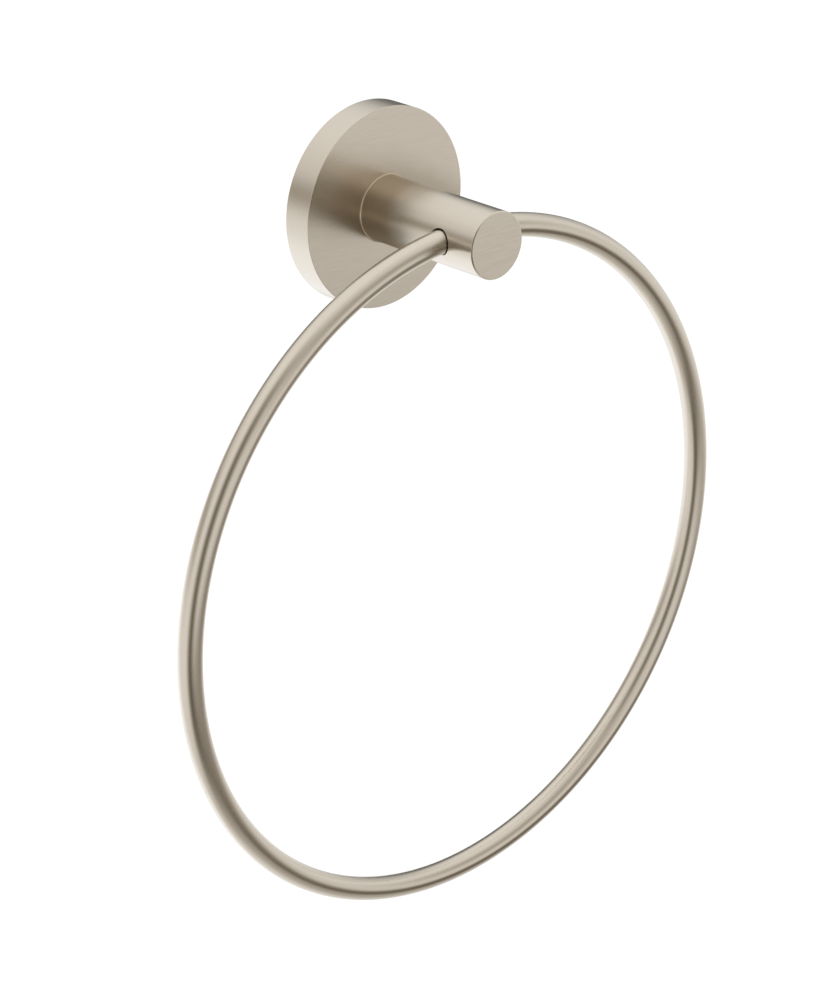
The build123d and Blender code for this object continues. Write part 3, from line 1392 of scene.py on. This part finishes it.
@dataclass
class Studio:
    """Pale floor, white room, soft lamps, net with dark flags, and the camera.

    Attributes:
        floor_height: Height of the floor.
        floor_radius: Radius of the floor.
        floor_sides: Points round the floor.
        floor_color: The floor's own grey.
        floor_glow: Level of the white that covers it where it is seen.
        floor_cover: Share of that white.
        net_radius: Radius of the net with the flags.
        net_middle: Where the net's middle is.
        net_segments: Segments round the net, twice as many as its rings.
        flags: The flags.
        lamps: The lamps.
        room_level: The room's light on surfaces with no gloss.
        lens: Focal length, in the unit of the sensor's width.
        sensor: Width of the camera's sensor.
        clip: The nearest and farthest that the camera sees.
        camera_place: Where the camera is.
        camera_at: The way back to it, as azimuth and elevation in degrees.
    """

    floor_height: float = -1.3
    floor_radius: float = 6.0
    floor_sides: int = 96
    floor_color: Triple = (0.9, 0.9, 0.9)
    floor_glow: float = 1.12
    floor_cover: float = 0.75
    net_radius: float = 1.15
    net_middle: Triple = (0.0, -0.03, -0.08)
    net_segments: int = 64
    flags: tuple[Flag, ...] = (
        Flag(at=(-45, 2), size=(38, 96), fade=(38, 40), shade=0.84, tint=Tint.FAINT),
        Flag(at=(19, -37), size=(136, 26), fade=(70, 14), shade=0.80, tint=Tint.FAINT),
        Flag(at=(2, -60), size=(190, 36), fade=(120, 44), shade=0.52, tint=Tint.FAINT),
        Flag(at=(-150, 11), size=(86, 19), fade=(40, 18), shade=0.60),
        Flag(at=(-150, 32), size=(80, 22), fade=(40, 22), shade=0.13),
        Flag(at=(142, 3), size=(40, 26), fade=(24, 12), shade=0.90, tint=Tint.NEUTRAL),
        Flag(at=(142, 17), size=(94, 24), fade=(40, 24), shade=0.50, tint=Tint.NEUTRAL),
        Flag(at=(30, 19), size=(50, 32), fade=(36, 34), shade=0.52),
        Flag(at=(-8, 31), size=(46, 28), fade=(36, 34), shade=0.38),
        Flag(at=(-15, 54), size=(140, 28), fade=(60, 36), shade=0.19),
        Flag(at=(54, -20), size=(52, 18), fade=(40, 16), shade=0.20),
    )
    lamps: tuple[Lamp, ...] = (
        Lamp("top_lamp", at=(0, 90), distance=1.0, size=2.4, power=1.5),
        Lamp("low_lamp", at=(-173, -44), distance=1.0, size=1.05, power=1.28, color=(0.70, 0.82, 1.0)),
    )
    room_level: float = 0.9
    lens: float = 104.83
    sensor: float = 36.0
    clip: tuple[float, float] = (0.01, 100.0)
    camera_place: Triple = (-0.49092, -0.54515, 0.24094)
    camera_at: tuple[float, float] = (-42.943, 24.060)

    @staticmethod
    def _way(azimuth: float, elevation: float) -> Vector:
        """Gives the way to an azimuth, from straight in front to the right, and an elevation, in degrees."""
        turn, rise = math.radians(azimuth), math.radians(elevation)
        return Vector((math.sin(turn) * math.cos(rise), -math.cos(turn) * math.cos(rise), math.sin(rise)))

    @staticmethod
    def _hang(name: str, data: bpy.types.ID, place: Sequence[float], away: Vector) -> bpy.types.Object:
        """Puts a lamp or a camera in its place, with its back turned one way.

        Args:
            name: Its name.
            data: The lamp or the camera.
            place: Where it is.
            away: The way that its back is turned.

        Returns:
            The object.
        """
        hung = link(name, data)
        hung.location = place
        hung.rotation_mode = "QUATERNION"
        hung.rotation_quaternion = away.to_track_quat("Z", "Y")
        return hung

    @staticmethod
    def _staged(name: str) -> tuple[bpy.types.Object, Nodes]:
        """Takes the mesh that was just added onto the stage, with a material of its own.

        Args:
            name: The name of both.

        Returns:
            The mesh's object and the material's nodes.
        """
        thing = bpy.context.object
        thing.name = name
        material = bpy.data.materials.new(name)
        thing.data.materials.append(material)
        return thing, Nodes(material)

    def _world(self) -> None:
        """Makes the room white as seen, and plain as light."""
        world = bpy.data.worlds.new("room")
        bpy.context.scene.world = world
        nodes = Nodes(world)
        inputs = {"Color": (*WHITE, 1.0), "Strength": nodes.ramp(nodes.seen(), 0.0, 1.0, self.room_level)}
        nodes.output(nodes.add("ShaderNodeBackground", inputs), "ShaderNodeOutputWorld")

    def _floor(self) -> bpy.types.Object:
        """Makes the floor: white where it is seen, and shaded where the object keeps light from it.

        Returns:
            The floor.
        """
        place = (0.0, 0.0, self.floor_height)
        bpy.ops.mesh.primitive_circle_add(
            vertices=self.floor_sides, radius=self.floor_radius, fill_type="NGON", location=place
        )
        floor, nodes = self._staged("floor")
        matte = nodes.add("ShaderNodeBsdfDiffuse", {"Color": (*self.floor_color, 1.0)})
        white = nodes.add("ShaderNodeEmission", {"Color": (*WHITE, 1.0), "Strength": self.floor_glow})
        share = nodes.math("MULTIPLY", nodes.seen(), self.floor_cover)
        nodes.output(nodes.add("ShaderNodeMixShader", {0: share, 1: matte.outputs[0], 2: white.outputs[0]}))
        return floor

    def _net(self) -> bpy.types.Object:
        """Makes the net with the dark flags, which dims what the metal sees behind it.

        Returns:
            The net.
        """
        rings = self.net_segments // 2
        bpy.ops.mesh.primitive_uv_sphere_add(
            segments=self.net_segments, ring_count=rings, radius=self.net_radius, location=self.net_middle
        )
        net, nodes = self._staged("flag_net")
        net.data.polygons.foreach_set("use_smooth", [True] * len(net.data.polygons))
        x, y, z = nodes.split(nodes.vector("NORMALIZE", nodes.place()))
        azimuth = nodes.math("DEGREES", nodes.math("ARCTAN2", x, nodes.math("MULTIPLY", y, -1.0)))
        elevation = nodes.math("DEGREES", nodes.math("ARCSINE", z))
        light = WHITE
        for flag in self.flags:
            aside = nodes.math("WRAP", nodes.math("SUBTRACT", azimuth, flag.at[0]), 180.0, -180.0)
            above = nodes.math("SUBTRACT", elevation, flag.at[1])
            shares = []
            for offset, size, fade in zip((aside, above), flag.size, flag.fade):
                near, far = (size - fade) / 2, (size + fade) / 2
                shares.append(nodes.ramp(nodes.math("ABSOLUTE", offset), near, far, 1.0, 0.0))
            loss = [flag.shade * part for part in flag.tint.value]
            light = nodes.dim(light, nodes.math("MULTIPLY", *shares), loss)
        nodes.output(nodes.add("ShaderNodeBsdfTransparent", {"Color": light}))
        net.visible_camera = False
        net.visible_shadow = False
        net.visible_diffuse = False
        return net

    def _lamp(self, lamp: Lamp) -> bpy.types.Object:
        """Hangs a soft lamp.

        Args:
            lamp: The lamp.

        Returns:
            The lamp's object.
        """
        light = bpy.data.lights.new(lamp.name, "AREA")
        light.shape = "SQUARE"
        light.size = lamp.size
        light.energy = lamp.power
        light.color = lamp.color
        away = self._way(*lamp.at)
        return self._hang(lamp.name, light, lamp.distance * away, away)

    def _camera(self) -> bpy.types.Object:
        """Sets up the camera of the photo.

        Returns:
            The camera.
        """
        camera = bpy.data.cameras.new("camera")
        camera.lens = self.lens
        camera.sensor_width = self.sensor
        camera.clip_start, camera.clip_end = self.clip
        shot = self._hang("camera", camera, self.camera_place, self._way(*self.camera_at))
        bpy.context.scene.camera = shot
        return shot

    def build(self) -> None:
        """Builds the whole studio."""
        self._world()
        for thing in (self._floor(), self._net(), *map(self._lamp, self.lamps), self._camera()):
            LOG.info("studio: %s", thing.name)
        bpy.context.scene.view_settings.view_transform = "Standard"


def main() -> None:
    """Builds every piece and the studio, and logs each piece's faces and the studio's things."""
    logging.basicConfig(level=logging.INFO, format="%(message)s")
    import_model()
    for kind in (Ring, Post, Rose, PostScrew, LockWasher, SetScrew, WallBracket):
        piece = kind().make()
        LOG.info("%s: %d faces", piece.name, len(piece.data.polygons))
    Studio().build()


if __name__ == "__main__":
    main()
